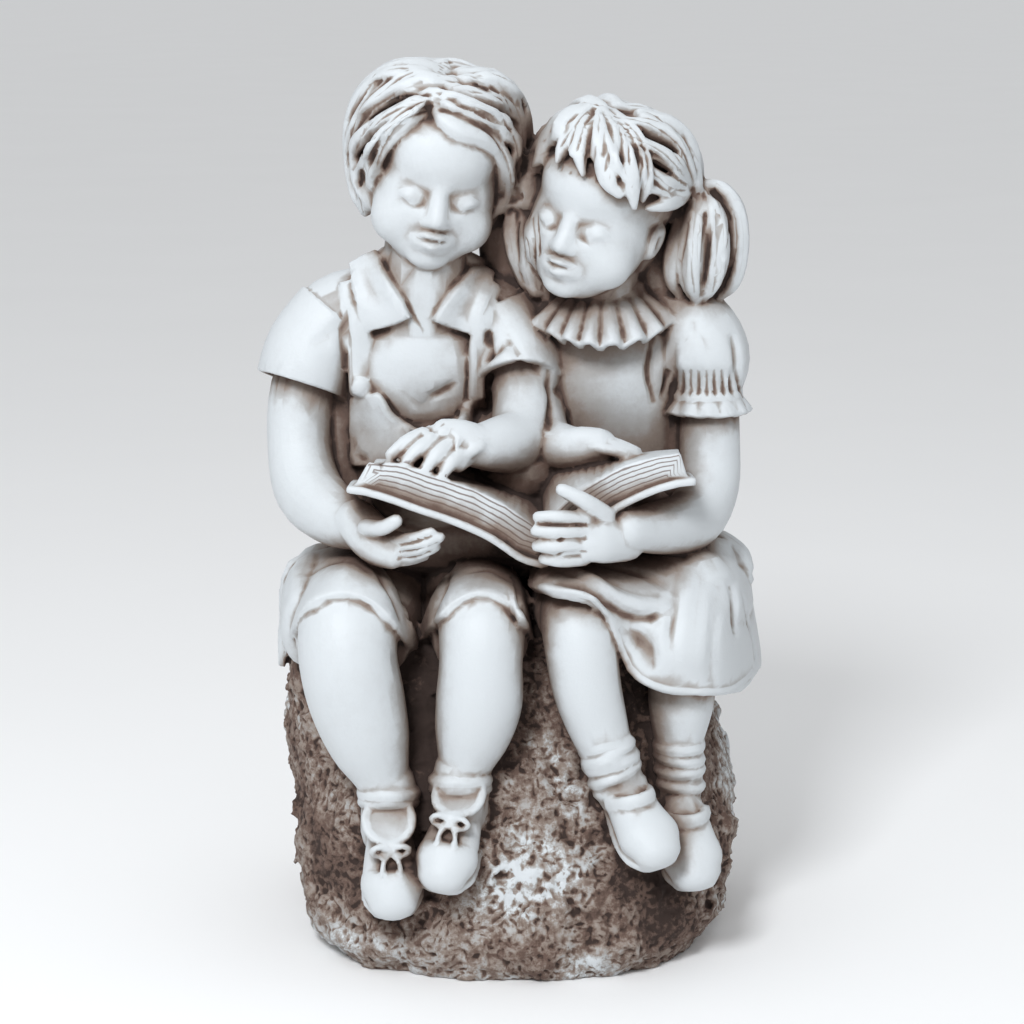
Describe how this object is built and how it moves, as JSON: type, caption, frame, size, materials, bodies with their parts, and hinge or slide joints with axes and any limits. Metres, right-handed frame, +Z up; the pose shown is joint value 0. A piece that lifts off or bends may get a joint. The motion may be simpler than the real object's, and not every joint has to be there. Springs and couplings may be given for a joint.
{
  "type": "garden statue",
  "caption": "Cast-stone garden statue of a boy and a girl sitting on a rock and reading one open book.",
  "frame": {"origin": "on the flat underside of the rock, under the middle of the group", "axes": "+Z up; -Y is the front that the two figures face; +X to the right of someone looking at the front, on the girl's side"},
  "size_m": [0.2947, 0.2462, 0.5],
  "materials": {
    "cast_stone": "off-white cast stone with a dark brown wash left in the recesses"
  },
  "bodies": {
    "root": {"reading_children": "cast_stone"}
  },
  "joints": []
}
